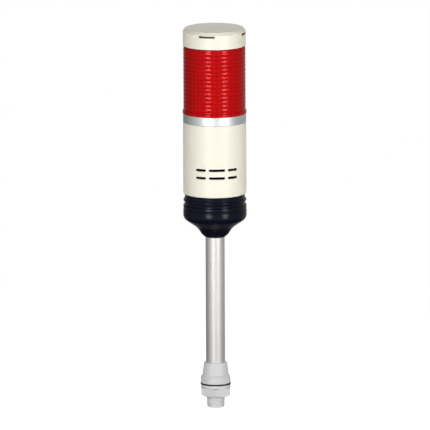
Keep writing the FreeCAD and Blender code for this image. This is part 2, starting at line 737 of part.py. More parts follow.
def terminal_row(name, radius):
    """A row of short cylinders that sink into the terminal block's back face."""
    count = int(value("terminal_count"))
    face = "board_offset + board_thick / 2 + terminal_depth - terminal_screw_depth"
    level = "board_foot + terminal_level + terminal_height / 2"
    row = []
    for index in range(count):
        across = f"terminal_width * ({index} + 0.5) / terminal_count - terminal_width / 2"
        row.append(cylinder(
            f"{name}_{index + 1}", radius, "terminal_screw_depth",
            x=across, y=face, z=level, axis=(1, 0, 0), degrees=-90,
        ))
    return joined("Part::Compound", name, row)


def build_terminals():
    block = box(
        "terminal_blank", "terminal_width", "terminal_depth", "terminal_height",
        x="-terminal_width / 2", y="board_offset + board_thick / 2", z="board_foot + terminal_level",
    )
    drilled = document.addObject("Part::Cut", "terminal_block")
    drilled.Base = block
    drilled.Tool = terminal_row("terminal_holes", "terminal_screw_radius + pin_gap")
    keep(drilled, "terminal_block")
    keep(terminal_row("terminal_screws", "terminal_screw_radius"), "terminal_screws")


def build_sounder():
    """A can on the board's front face, open behind, with a diaphragm on a ledge inside."""
    front_face = "board_offset - board_thick / 2"
    where = {
        "y": front_face,
        "z": "housing_foot + louvre_level",
        "axis": (1, 0, 0),
        "degrees": 90,
    }
    bore = "sounder_radius - sounder_wall"
    front = "sounder_depth - sounder_wall"
    seat = f"{front} - sounder_ledge"
    body = new_body("sounder_case", **where)
    spin(body, "sounder_turned", [
        (bore, "0"),
        ("sounder_radius", "0"),
        ("sounder_radius", "sounder_depth"),
        ("sounder_mouth", "sounder_depth"),
        ("sounder_mouth", front),
        (f"{bore} - sounder_wall", front),
        (f"{bore} - sounder_wall", seat),
        (bore, seat),
    ])
    where["y"] = f"{front_face} - ({seat}) + diaphragm_thick"
    disc = cylinder("sounder_diaphragm", f"{bore} - pin_gap", "diaphragm_thick", **where)
    keep(disc, "sounder_diaphragm")


def build_lamp_socket():
    foot = "housing_foot + deck_foot - plug_collar"
    stem = box(
        "socket_stem", "plug_width", "plug_depth", "plug_collar + deck_thick + plug_above",
        x="-plug_width / 2", y="-plug_depth / 2", z=foot,
    )
    collar = box(
        "socket_collar", "plug_width + plug_collar * 2", "plug_depth + plug_collar * 2", "plug_collar",
        x="-plug_width / 2 - plug_collar", y="-plug_depth / 2 - plug_collar", z=foot,
    )
    keep(joined("Part::MultiFuse", "lamp_socket", [stem, collar]), "lamp_socket")


# Silver ring, lens, lamps and cap.

def build_trim_ring():
    body = new_body("trim_ring", z="trim_foot")
    spin(body, "trim_turned", [
        ("trim_bore", "-trim_register"),
        ("spigot_radius", "-trim_register"),
        ("spigot_radius", "0"),
        ("trim_radius", "0"),
        ("trim_radius", "trim_height"),
        ("trim_bore", "trim_height"),
    ])
    edges = [("trim_radius", "0"), ("trim_radius", "trim_height")]
    round_rings(body, "trim_rounded", edges, "trim_round")
    inner = "lens_bore + flute_depth"
    outer = f"{inner} + lens_seal_width"
    low = "trim_height - lens_seal_depth"
    high = "trim_height + 1"
    spin(body, "lens_seal_groove", [(inner, low), (outer, low), (outer, high), (inner, high)], cut=True)
    seat = f"trim_foot + {low}"
    ring("lens_seal", f"{inner} + pin_gap", f"{outer} - pin_gap", "lens_seal_depth", z=seat)


def build_lens():
    body = new_body("lens", z="lens_foot")
    neck_end = "lens_height + neck_length"
    roof = "lens_height - lens_roof"
    spin(body, "lens_turned", [
        ("lens_bore", "0"),
        ("lens_rim_radius", "0"),
        ("lens_rim_radius", "lens_rim_height"),
        ("lens_radius", "lens_rim_height"),
        ("lens_radius", "lens_height"),
        ("neck_thread_radius", "lens_height"),
        ("neck_thread_radius", neck_end),
        ("neck_bore", neck_end),
        ("neck_bore", roof),
        ("lens_bore", roof),
    ])
    round_rings(body, "lens_rim", [("lens_rim_radius", "lens_rim_height")], "lens_rim_round")
    ridge = add_ridge(body)
    repeat_up(body, "ridges", ridge, "ridge_count", "ridge_pitch")
    flute = new_sketch(body, "flute_circle", "XY_Plane")
    add_circle(flute, "lens_bore - flute_radius + flute_depth", "0", "flute_radius")
    groove = extrude(body, "flute", flute, roof, cut=True, reverse=True)
    repeat_round(body, "flutes", groove, "flute_count")


def add_ridge(body):
    """The lowest ridge: an arc over one pitch, on a root that lies inside the wall."""
    low = "(lens_height + lens_rim_height - ridge_count * ridge_pitch) / 2"
    high = f"{low} + ridge_pitch"
    root = "lens_radius - ridge_rise"
    sketch = new_sketch(body, "ridge_outline")
    corners = [("lens_radius", low), (root, low), (root, high), ("lens_radius", high)]
    points = [FreeCAD.Vector(value(x), value(y), 0) for x, y in corners]
    for start, stop in zip(points, points[1:]):
        sketch.addGeometry(Part.LineSegment(start, stop))
    crest = FreeCAD.Vector(value("lens_radius + ridge_rise"), value(f"({low} + {high}) / 2"), 0)
    arc = sketch.addGeometry(Part.Arc(points[0], crest, points[3]))
    for index in range(2):
        sketch.addConstraint(Sketcher.Constraint("Coincident", index, 2, index + 1, 1))
    sketch.addConstraint(Sketcher.Constraint("Coincident", 0, 1, arc, 1))
    sketch.addConstraint(Sketcher.Constraint("Coincident", 2, 2, arc, 2))
    for index, (x, y) in enumerate(corners[:3]):
        pin_point(sketch, index, 1, x, y)
    pin_point(sketch, 2, 2, *corners[3])
    bulge = "(ridge_pitch * ridge_pitch / 4 + ridge_rise * ridge_rise) / (2 * ridge_rise)"
    index = sketch.addConstraint(Sketcher.Constraint("Radius", arc, value(bulge)))
    bind(sketch, f"Constraints[{index}]", bulge)
    feature = body.newObject("PartDesign::Revolution", "ridge")
    feature.Profile = sketch
    feature.ReferenceAxis = (sketch, ["V_Axis"])
    feature.Angle = 360
    return settle(body, feature, False)


def build_carrier():
    """A square hollow core on a round foot, which two screws hold to the deck."""
    body = new_body("led_carrier", z="carrier_seat")
    spin(body, "carrier_foot", [
        ("0", "0"),
        ("carrier_radius", "0"),
        ("carrier_radius", "carrier_foot"),
        ("0", "carrier_foot"),
    ])
    core = new_sketch(body, "core_square", "XY_Plane")
    half = "carrier_side / 2"
    add_rectangle(core, f"-{half}", half, f"-{half}", half)
    extrude(body, "core", core, "carrier_height")
    hollow = new_sketch(body, "core_hollow", "XY_Plane")
    inner = f"({half} - carrier_wall)"
    add_rectangle(hollow, f"-{inner}", inner, f"-{inner}", inner)
    extrude(body, "core_bored", hollow, "carrier_height - carrier_wall", cut=True, reverse=True)
    holes = new_sketch(body, "carrier_holes", "XY_Plane")
    for side in ("-", ""):
        add_circle(holes, f"{side}carrier_hold", "0", "pin_hole")
    extrude(body, "carrier_drilled", holes, "carrier_foot * 2", cut=True, reverse=True)
    seat = "carrier_seat + carrier_foot"
    screws = []
    for index, side in enumerate(("-", ""), start=1):
        across = f"{side}carrier_hold"
        screws.append(pan_screw(f"carrier_screw_{index}", "carrier_screw_reach", x=across, z=seat))
    keep(joined("Part::Compound", "carrier_screws", screws), "carrier_screws")


def build_lamp_board(number, along, across):
    """One lamp board on a side of the core; (along, across) is that side's direction."""
    half_side = "carrier_side / 2"
    half_width = "lamp_board_width / 2"
    foot = "carrier_seat + carrier_foot + lamp_board_lift"
    board = box(
        f"led_board_{number}", "lamp_board_thick", "lamp_board_width", "lamp_board_height",
        x=f"{half_side} * {along} + {half_width} * {across}",
        y=f"{half_side} * {across} - {half_width} * {along}",
        z=foot, axis=(0, 0, 1), degrees=90 * (number - 1),
    )
    keep(board, f"led_board_{number}")
    face = "(carrier_side / 2 + lamp_board_thick)"
    direction = FreeCAD.Vector(along, across, 0)
    spread = "(lamp_board_height - (lamp_rows - 1) * lamp_pitch) / 2"
    for row in range(int(value("lamp_rows"))):
        build_lamp(
            f"led_{number}_{row + 1}",
            direction,
            x=f"{face} * {along}",
            y=f"{face} * {across}",
            z=f"{foot} + {spread} + lamp_pitch * {row}",
        )


def build_lamp(label, direction, **where):
    """A round lamp with a rim at its foot and a dome at its end."""
    rim = cylinder(f"{label}_rim", "lamp_radius + lamp_rim", "lamp_rim_height")
    barrel = cylinder(f"{label}_barrel", "lamp_radius", "lamp_length")
    dome = document.addObject("Part::Sphere", f"{label}_dome")
    bind(dome, "Radius", "lamp_radius")
    bind(dome, "Placement.Base.z", "lamp_length")
    lamp = joined("Part::MultiFuse", label, [rim, barrel, dome])
    lamp.Placement = FreeCAD.Placement(
        FreeCAD.Vector(), FreeCAD.Rotation(FreeCAD.Vector(0, 0, 1), direction)
    )
    place(lamp, **where)
    keep(lamp, label)


def build_cap():
    inset = "cap_radius - cap_seal_inset"
    ring("cap_seal", "cap_bore", inset, "cap_seal_thick", z="cap_seal_foot")
    body = new_body("top_cap", z="cap_foot", axis=(0, 0, 1), degrees="cap_clock")
    ceiling = "cap_height - cap_roof"
    spin(body, "cap_turned", [
        ("cap_bore", "0"),
        ("cap_radius", "0"),
        ("cap_radius", "cap_wall_height"),
        ("cap_disc_radius", "cap_height"),
        ("0", "cap_height"),
        ("0", ceiling),
        ("cap_bore", ceiling),
    ])
    edges = [("cap_radius", "cap_wall_height"), ("cap_disc_radius", "cap_height")]
    round_rings(body, "cap_edges", edges, "cap_edge_round")
    floor = "cap_radius - cap_slot_depth"
    high = "cap_slot_level + cap_slot_height"
    corners = [
        (floor, "cap_slot_level"),
        ("cap_radius + 1", "cap_slot_level"),
        ("cap_radius + 1", high),
        (floor, high),
    ]
    slot = spin(body, "cap_slot", corners, cut=True, degrees="cap_slot_angle")
    repeat_round(body, "cap_slots", slot, "cap_slot_count")


def check_document():
    """Stop if any object failed, or any sub-part is empty or not valid."""
    document.recompute()
    for item in document.Objects:
        if "Invalid" in item.State or "Error" in item.State:
            raise ValueError(f"{item.Label} failed: {item.State}")
    for piece in PIECES:
        if piece.Shape.isNull() or not piece.Shape.isValid() or not piece.Shape.Solids:
            raise ValueError(f"{piece.Label} has no valid solid")


def write_steps():
    os.makedirs("parts", exist_ok=True)
    for piece in PIECES:
        piece.Shape.exportStep(f"parts/{piece.Label}.step")


build_holder()
build_clamp()
build_pole()
build_base()
build_housing()
build_board()
build_terminals()
build_sounder()
build_lamp_socket()
build_trim_ring()
build_lens()
build_carrier()
for number, (along, across) in enumerate(((1, 0), (0, 1), (-1, 0), (0, -1)), start=1):
    build_lamp_board(number, along, across)
build_cap()
check_document()
write_steps()
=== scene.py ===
"""Signal tower: finishes, fine pieces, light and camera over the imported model."""
import logging
import math
from dataclasses import dataclass
from enum import Enum
from typing import Any, ClassVar, Union

import bmesh
import bpy
from mathutils import Matrix, Vector


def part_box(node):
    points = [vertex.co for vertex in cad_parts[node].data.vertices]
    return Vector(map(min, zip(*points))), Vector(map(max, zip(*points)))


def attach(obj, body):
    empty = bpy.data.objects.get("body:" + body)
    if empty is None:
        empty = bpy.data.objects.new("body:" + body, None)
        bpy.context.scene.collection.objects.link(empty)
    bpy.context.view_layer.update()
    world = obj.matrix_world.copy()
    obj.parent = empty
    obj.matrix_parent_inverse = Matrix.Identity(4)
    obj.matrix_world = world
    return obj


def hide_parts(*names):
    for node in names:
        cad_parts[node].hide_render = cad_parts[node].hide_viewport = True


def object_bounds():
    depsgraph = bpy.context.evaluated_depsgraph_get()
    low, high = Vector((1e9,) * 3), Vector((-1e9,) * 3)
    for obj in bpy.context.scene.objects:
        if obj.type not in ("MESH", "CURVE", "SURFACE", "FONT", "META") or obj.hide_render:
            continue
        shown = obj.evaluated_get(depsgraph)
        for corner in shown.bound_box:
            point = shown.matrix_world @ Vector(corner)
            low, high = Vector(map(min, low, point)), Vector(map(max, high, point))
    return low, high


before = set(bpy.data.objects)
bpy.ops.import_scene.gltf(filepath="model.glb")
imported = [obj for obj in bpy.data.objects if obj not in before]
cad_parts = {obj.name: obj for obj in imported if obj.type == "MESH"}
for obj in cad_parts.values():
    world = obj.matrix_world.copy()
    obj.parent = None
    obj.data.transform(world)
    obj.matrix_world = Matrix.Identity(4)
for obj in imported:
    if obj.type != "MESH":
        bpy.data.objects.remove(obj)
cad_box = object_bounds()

LOG = logging.getLogger("signal_tower")
MM = 0.001
MERGE = 1e-6  # points closer than this, in metres, become one
TOUCH = 1e-7  # radii and heights closer than this are the same
TOWER = "tower"

Colour = tuple[float, float, float]
Linear = tuple[float, float, float, float]
Stretch = tuple[float, float, float]
Span = tuple[float, float]
Number = Union[float, "Signal"]
Profile = list[tuple[float, float]]
Edges = list[bmesh.types.BMEdge]
Dressing = tuple[tuple["Finish", tuple[str, ...]], ...]


def linear(colour: Colour) -> Linear:
    """Turn a display colour, 0 to 1, into the linear values that shaders take.

    Args:
        colour: Red, green and blue as they look on a display.

    Returns:
        Linear red, green, blue and an alpha of 1.
    """
    values = [c / 12.92 if c <= 0.04045 else ((c + 0.055) / 1.055) ** 2.4 for c in colour]
    return (values[0], values[1], values[2], 1.0)


def scaled(colour: Linear, factor: float) -> Linear:
    """A linear colour times a factor, and no brighter than white."""
    return tuple(min(1.0, c * factor) for c in colour[:3]) + (1.0,)


class Signal:
    """One output of a shader node; arithmetic on it adds Math nodes."""

    def __init__(self, graph: "Graph", socket: bpy.types.NodeSocket) -> None:
        """Keep the socket and the graph that it belongs to."""
        self.graph = graph
        self.socket = socket

    def _math(self, operation: str, first: Number, *others: Number) -> "Signal":
        """Add one Math node and return its value."""
        inputs = dict(enumerate((first, *others)))
        return self.graph.node("ShaderNodeMath", {"operation": operation}, inputs)[0]

    def __add__(self, other: Number) -> "Signal":
        """Sum."""
        return self._math("ADD", self, other)

    def __radd__(self, other: Number) -> "Signal":
        """Sum, number first."""
        return self._math("ADD", other, self)

    def __sub__(self, other: Number) -> "Signal":
        """Difference."""
        return self._math("SUBTRACT", self, other)

    def __rsub__(self, other: Number) -> "Signal":
        """Difference, number first."""
        return self._math("SUBTRACT", other, self)

    def __mul__(self, other: Number) -> "Signal":
        """Product."""
        return self._math("MULTIPLY", self, other)

    def __rmul__(self, other: Number) -> "Signal":
        """Product, number first."""
        return self._math("MULTIPLY", other, self)

    def __gt__(self, other: Number) -> "Signal":
        """One where this is greater."""
        return self._math("GREATER_THAN", self, other)

    def __lt__(self, other: Number) -> "Signal":
        """One where this is less."""
        return self._math("LESS_THAN", self, other)

    def __abs__(self) -> "Signal":
        """Size without sign."""
        return self._math("ABSOLUTE", self)

    def cosine(self) -> "Signal":
        """Cosine of an angle in radians."""
        return self._math("COSINE", self)

    def angle_to(self, other: Number) -> "Signal":
        """Angle of the point (other, self), in radians."""
        return self._math("ARCTAN2", self, other)

    def root(self) -> "Signal":
        """Square root."""
        return self._math("SQRT", self)

    def highest(self, other: Number) -> "Signal":
        """The greater of two values."""
        return self._math("MAXIMUM", self, other)

    def swing(self, width: float) -> "Signal":
        """Turn a value of 0 to 1 into a swing of this width about zero."""
        return (self - 0.5) * width

    def ramp(self, low: float, high: float) -> "Signal":
        """Rise smoothly from 0 to 1.

        Args:
            low: Where the rise starts.
            high: Where it ends.

        Returns:
            The ramp's value.
        """
        settings = {"interpolation_type": "SMOOTHSTEP"}
        inputs = {"Value": self, "From Min": low, "From Max": high, "To Min": 0.0, "To Max": 1.0}
        return self.graph.node("ShaderNodeMapRange", settings, inputs)["Result"]


class Outputs:
    """The outputs of one node, by name or by number."""

    def __init__(self, graph: "Graph", node: bpy.types.Node) -> None:
        """Keep the node."""
        self.graph = graph
        self.node = node

    def __getitem__(self, key: Union[int, str]) -> Signal:
        """One output as a signal."""
        return Signal(self.graph, self.node.outputs[key])


class Graph:
    """The node tree of a material or of the world."""

    def __init__(self, tree: bpy.types.NodeTree) -> None:
        """Start from an empty tree."""
        self.tree = tree
        self.tree.nodes.clear()

    def node(
        self,
        kind: str,
        settings: dict[str, Any] | None = None,
        inputs: dict[Union[int, str], Any] | None = None,
    ) -> Outputs:
        """Add a node.

        Args:
            kind: Blender's name for the node type.
            settings: Properties, which are set first.
            inputs: Values or signals for its sockets, by name or by number.

        Returns:
            The node's outputs.
        """
        node = self.tree.nodes.new(kind)
        for name, value in (settings or {}).items():
            setattr(node, name, value)
        for key, value in (inputs or {}).items():
            if isinstance(value, Signal):
                self.tree.links.new(value.socket, node.inputs[key])
            else:
                node.inputs[key].default_value = value
        return Outputs(self, node)

    def point(self) -> Signal:
        """The point on the surface, in the object's own metres."""
        return self.node("ShaderNodeTexCoord")["Object"]

    def axes(self) -> tuple[Signal, Signal, Signal]:
        """The point's x, y and z."""
        parts = self.node("ShaderNodeSeparateXYZ", inputs={"Vector": self.point()})
        return parts["X"], parts["Y"], parts["Z"]

    def radius(self) -> Signal:
        """The point's distance from the tower's axis."""
        across, along, _ = self.axes()
        return (across * across + along * along).root()

    def noise(self, scale: float, detail: float, stretch: Stretch = (1.0, 1.0, 1.0)) -> Signal:
        """Noise from 0 to 1.

        Args:
            scale: Waves to the metre.
            detail: Octaves.
            stretch: Factor on the scale along each axis.

        Returns:
            The noise.
        """
        mapped = self.node("ShaderNodeMapping", inputs={"Vector": self.point(), "Scale": stretch})
        inputs = {"Vector": mapped["Vector"], "Scale": scale, "Detail": detail}
        return self.node("ShaderNodeTexNoise", inputs=inputs)["Fac"]

    def blend(self, factor: Number, first: Any, second: Any) -> Signal:
        """Mix two colours; each is a signal or linear values."""
        settings = {"data_type": "RGBA", "clamp_factor": True}
        return self.node("ShaderNodeMix", settings, {0: factor, 6: first, 7: second})[2]

    def bump(self, height: Number, depth: float) -> Signal:
        """A normal from a height of 0 to 1 that stands for depth metres."""
        inputs = {"Height": height, "Distance": depth, "Strength": 1.0}
        return self.node("ShaderNodeBump", inputs=inputs)["Normal"]

    def seen(self) -> Signal:
        """One for rays that show a surface: direct, in a reflection or through a clear piece.

        Returns:
            The mask.
        """
        path = self.node("ShaderNodeLightPath")
        shown = path["Is Camera Ray"].highest(path["Is Glossy Ray"])
        return shown.highest(path["Is Transmission Ray"])


def blank(name: str) -> tuple[bpy.types.Material, Graph]:
    """Start a material.

    Args:
        name: Its name.

    Returns:
        The material and its nodes, of which there are none yet.
    """
    material = bpy.data.materials.new(name)
    material.use_nodes = True
    return material, Graph(material.node_tree)


class Lay(Enum):
    """Which way a metal's fine lines run, as the stretch of the noise that draws them."""

    ALONG = (1.0, 1.0, 0.02)
    ROUND = (0.02, 0.02, 1.0)
    TURNED = (0.05, 0.05, 1.0)
    NONE = (1.0, 1.0, 1.0)


@dataclass(frozen=True)
class Finish:
    """What a surface is made of. Each kind of finish draws its own detail."""

    name: str
    colour: Colour
    roughness: float = 0.4

    made: ClassVar[dict[str, bpy.types.Material]] = {}

    def material(self) -> bpy.types.Material:
        """Turn the finish into a material, once.

        Returns:
            The new material, or the one that was made before.
        """
        if self.name not in Finish.made:
            material, graph = blank(self.name)
            shader = graph.node("ShaderNodeBsdfPrincipled", inputs=self.sockets(graph))
            graph.node("ShaderNodeOutputMaterial", inputs={"Surface": shader["BSDF"]})
            Finish.made[self.name] = material
        return Finish.made[self.name]

    def sockets(self, graph: Graph) -> dict[str, Any]:
        """Values and signals for the shader's sockets."""
        raise NotImplementedError


@dataclass(frozen=True)
class Moulding(Finish):
    """Injection moulded plastic: fine spark grain, faint flow marks and two mould seams."""

    tint: Colour = (1.0, 1.0, 1.0)
    specular: float = 0.5
    flow: float = 22.0
    flow_stretch: Stretch = (1.0, 1.0, 0.35)
    flow_fade: Span = (0.3, 0.7)
    flow_gloss: float = 0.08
    grain: float = 2600.0
    grain_depth: float = 0.02 * MM
    grain_gloss: float = 0.12
    seams: bool = False
    seam_width: Span = (0.06 * MM, 0.22 * MM)
    seam_start: Span = (4.0 * MM, 6.0 * MM)
    seam_grain: float = 0.4

    def sockets(self, graph: Graph) -> dict[str, Any]:
        """Shade the flow marks and roughen the surface.

        Args:
            graph: The material's nodes.

        Returns:
            Values and signals for the shader's sockets.
        """
        flow = graph.noise(self.flow, 2.0, self.flow_stretch)
        grain = graph.noise(self.grain, 2.0)
        base = linear(self.colour)
        shade = tuple(c * t for c, t in zip(base, (*self.tint, 1.0)))
        gloss = grain.swing(self.grain_gloss) + flow.swing(self.flow_gloss)
        return {
            "Base Color": graph.blend(flow.ramp(*self.flow_fade), base, shade),
            "Roughness": self.roughness + gloss,
            "Specular IOR Level": self.specular,
            "Normal": self.relief(graph, grain),
        }

    def relief(self, graph: Graph, grain: Signal) -> Signal:
        """Raise the grain and, where there are any, the mould seams.

        Args:
            graph: The material's nodes.
            grain: The grain's height.

        Returns:
            The surface's normal.
        """
        if not self.seams:
            return graph.bump(grain, self.grain_depth)
        across, along, _ = graph.axes()
        seam = 1.0 - abs(along).ramp(*self.seam_width)
        height = grain * self.seam_grain + seam * abs(across).ramp(*self.seam_start)
        return graph.bump(height, self.grain_depth)


@dataclass(frozen=True)
class Crowned(Moulding):
    """Moulding whose two broad bands lean back a little towards their tops."""

    low_band: Span = (153.8 * MM, 159.8 * MM)
    mid_band: Span = (160.9 * MM, 164.4 * MM)
    mid_share: float = 0.75
    lean: float = 0.4 * MM

    def relief(self, graph: Graph, grain: Signal) -> Signal:
        """Raise the grain and lean the bands back.

        Args:
            graph: The material's nodes.
            grain: The grain's height.

        Returns:
            The surface's normal.
        """
        _, _, up = graph.axes()
        fall = up.ramp(*self.low_band) + up.ramp(*self.mid_band) * self.mid_share
        return graph.bump(grain * (self.grain_depth / self.lean) - fall, self.lean)


@dataclass(frozen=True)
class Recessed(Moulding):
    """Moulding with painted shade deep in the slots that are cut into its wall."""

    # Painted shade: the colour that the inside of the slots is darkened to.
    shade: Colour = (0.4, 0.38, 0.33)
    wall: float = 27.95 * MM
    slot_foot: float = 316.9 * MM
    slot_top: float = 318.7 * MM
    slot_play: float = 0.05 * MM
    shade_depth: Span = (0.1 * MM, 1.2 * MM)

    def sockets(self, graph: Graph) -> dict[str, Any]:
        """Paint shade into the inside of the slots.

        Args:
            graph: The material's nodes.

        Returns:
            Values and signals for the shader's sockets.
        """
        sockets = super().sockets(graph)
        _, _, up = graph.axes()
        inward = self.wall - graph.radius()
        inside = (up > self.slot_foot - self.slot_play) * (up < self.slot_top + self.slot_play)
        # Painted shade, which grows with the depth inside the slot wall.
        painted_slot_shade = inward.ramp(*self.shade_depth) * inside
        sockets["Base Color"] = graph.blend(painted_slot_shade, sockets["Base Color"], linear(self.shade))
        return sockets


@dataclass(frozen=True)
class Metal(Finish):
    """Metal with a lay of fine lines and a faint cloud."""

    lay: Lay = Lay.ALONG
    lines: float = 2400.0
    lines_fade: Span = (0.25, 0.8)
    dull: float = 0.86
    contrast: float = 0.12
    depth: float = 0.01 * MM
    cloud: float = 35.0
    cloud_gloss: float = 0.06

    def sockets(self, graph: Graph) -> dict[str, Any]:
        """Draw the lay.

        Args:
            graph: The material's nodes.

        Returns:
            Values and signals for the shader's sockets.
        """
        lines = graph.noise(self.lines, 3.0, self.lay.value)
        cloud = graph.noise(self.cloud, 3.0)
        base = linear(self.colour)
        gloss = lines.swing(self.contrast) + cloud.swing(self.cloud_gloss)
        return {
            "Base Color": graph.blend(lines.ramp(*self.lines_fade), scaled(base, self.dull), base),
            "Metallic": 1.0,
            "Roughness": self.roughness + gloss,
            "Normal": graph.bump(lines, self.depth),
        }


@dataclass(frozen=True)
class Rubber(Finish):
    """Soft matte rubber with a dusty bloom."""

    specular: float = 0.3
    bloom: float = 160.0
    bloom_fade: Span = (0.4, 0.75)
    dust: float = 0.012
    grain: float = 3200.0
    grain_depth: float = 0.03 * MM
    grain_gloss: float = 0.15

    def sockets(self, graph: Graph) -> dict[str, Any]:
        """Dust the surface with bloom.

        Args:
            graph: The material's nodes.

        Returns:
            Values and signals for the shader's sockets.
        """
        bloom = graph.noise(self.bloom, 4.0)
        grain = graph.noise(self.grain, 2.0)
        base = linear(self.colour)
        dusty = tuple(c + self.dust for c in base[:3]) + (1.0,)
        return {
            "Base Color": graph.blend(bloom.ramp(*self.bloom_fade), base, dusty),
            "Roughness": self.roughness + grain.swing(self.grain_gloss),
            "Specular IOR Level": self.specular,
            "Normal": graph.bump(grain, self.grain_depth),
        }


@dataclass(frozen=True, kw_only=True)
class ClearRed(Finish):
    """Clear red lens, with painted shade in lines along its inner flutes and in its outer valleys.

    Its tinted skin gives the pale highlights and darkens the lens towards its sides.
    """

    flutes: int
    ridges: int
    ridge_foot: float
    ridge_pitch: float
    # Painted shade: how strongly the flute lines and the ridge valleys are darkened.
    flute_shade_share: float = 0.42
    valley_shade_share: float = 0.38
    line_edge: Span = (-0.2, 1.0)
    # Painted shade and random tone: the darker red that the lens is mixed towards.
    tone_and_shade_red: Colour = (0.62, 0.0, 0.02)
    skin: Colour = (0.68, 0.02, 0.05)
    skin_ior: float = 1.2
    skin_roughness: float = 0.16
    ior: float = 1.49
    specular: float = 0.95
    transmission: float = 0.12
    cloud: float = 60.0
    cloud_share: float = 0.12
    cloud_gloss: float = 0.05
    ripple: float = 200.0
    ripple_stretch: Stretch = (0.4, 0.4, 1.0)
    ripple_depth: float = 0.01 * MM

    def sockets(self, graph: Graph) -> dict[str, Any]:
        """Paint shade along the flutes and into the ridges' valleys.

        Args:
            graph: The material's nodes.

        Returns:
            Values and signals for the shader's sockets.
        """
        across, along, up = graph.axes()
        flute = (along.angle_to(across) * self.flutes).cosine()
        valley = ((up - self.ridge_foot) * (2 * math.pi / self.ridge_pitch)).cosine()
        top = self.ridge_foot + self.ridges * self.ridge_pitch
        band = (up > self.ridge_foot) * (up < top)
        lines = flute.ramp(*self.line_edge) * self.flute_shade_share
        valley_shade = valley.ramp(*self.line_edge) * band * self.valley_shade_share
        cloud = graph.noise(self.cloud, 2.0)
        # Painted shade in the flute lines and valleys, with a random tone over it.
        depth = lines.highest(valley_shade) + cloud.swing(self.cloud_share)
        ripple = graph.noise(self.ripple, 2.0, self.ripple_stretch)
        return {
            "Base Color": graph.blend(depth, linear(self.colour), linear(self.tone_and_shade_red)),
            "Roughness": self.roughness + cloud.swing(self.cloud_gloss),
            "Transmission Weight": self.transmission,
            "Specular IOR Level": self.specular,
            "IOR": self.ior,
            "Coat Weight": 1.0,
            "Coat Roughness": self.skin_roughness,
            "Coat IOR": self.skin_ior,
            "Coat Tint": (*self.skin, 1.0),
            "Normal": graph.bump(ripple, self.ripple_depth),
        }


@dataclass(frozen=True)
class Gauze(Finish):
    """Black woven dust cloth behind the louvres."""

    mesh: float = 0.9 * MM
    hole: Colour = (0.0, 0.0, 0.0)
    specular: float = 0.1
    depth: float = 0.1 * MM

    def sockets(self, graph: Graph) -> dict[str, Any]:
        """Draw the weave.

        Args:
            graph: The material's nodes.

        Returns:
            Values and signals for the shader's sockets.
        """
        across, _, up = graph.axes()
        waves = math.pi / self.mesh
        weave = abs((across * waves).cosine() * (up * waves).cosine())
        return {
            "Base Color": graph.blend(weave, linear(self.colour), linear(self.hole)),
            "Roughness": self.roughness,
            "Specular IOR Level": self.specular,
            "Normal": graph.bump(weave, self.depth),
        }


@dataclass(frozen=True)
class Laminate(Finish):
    """Circuit board: solder resist over copper tracks."""

    copper: Colour = (0.75, 0.6, 0.35)
    copper_depth: float = 0.04 * MM
    raised: float = 1.7
    track: float = 2.2 * MM
    track_edge: Span = (0.5, 0.7)
    track_drift: float = 4.0 * MM
    pad: float = 6.6 * MM
    pad_edge: Span = (0.9, 0.97)
    pad_drift: float = 3.0 * MM
    wander: float = 90.0

    def sockets(self, graph: Graph) -> dict[str, Any]:
        """Draw the tracks and their pads.

        Args:
            graph: The material's nodes.

        Returns:
            Values and signals for the shader's sockets.
        """
        across, _, up = graph.axes()
        wander = graph.noise(self.wander, 1.0)
        rows = ((across + wander * self.track_drift) * (2 * math.pi / self.track)).cosine()
        columns = ((up + wander * self.pad_drift) * (2 * math.pi / self.pad)).cosine()
        tracks = rows.ramp(*self.track_edge)
        pads = columns.ramp(*self.pad_edge)
        base = linear(self.colour)
        resist = graph.blend(tracks, base, scaled(base, self.raised))
        return {
            "Base Color": graph.blend(pads * tracks, resist, linear(self.copper)),
            "Roughness": self.roughness,
            "Normal": graph.bump(tracks, self.copper_depth),
        }


CREAM_COLOUR: Colour = (0.97, 0.95, 0.885)
CREAM_TINT: Colour = (0.985, 0.98, 0.97)
HOLDER_GREY = Moulding("holder_grey", (0.835, 0.832, 0.832), 0.45, tint=(0.97, 0.97, 0.98))
CREAM = Moulding("cream_moulding", CREAM_COLOUR, 0.38, tint=CREAM_TINT, seams=True)
CAP_CREAM = Recessed("cap_moulding", CREAM_COLOUR, 0.38, tint=CREAM_TINT, seams=True)
BASE_BLACK = Crowned("base_black", (0.03, 0.035, 0.1), 0.22, tint=(0.85, 0.85, 0.9), specular=0.14)
NATURAL = Moulding("natural_nylon", (0.85, 0.84, 0.80), 0.5)
CASE_BLACK = Moulding("case_black", (0.06, 0.06, 0.065), 0.5)
TERMINAL_GREEN = Moulding("terminal_green", (0.10, 0.42, 0.28), 0.45)
SLEEVE_BLUE = Moulding("sleeve_blue", (0.08, 0.09, 0.25), 0.3)
WHITE_CARRIER = Moulding("white_carrier", (0.9, 0.9, 0.89), 0.5)
LAMP_RESIN = Moulding("lamp_resin", (0.78, 0.05, 0.07), 0.12, grain_depth=0.002 * MM)
SEAL = Rubber("seal_rubber", (0.05, 0.05, 0.05), 0.75)
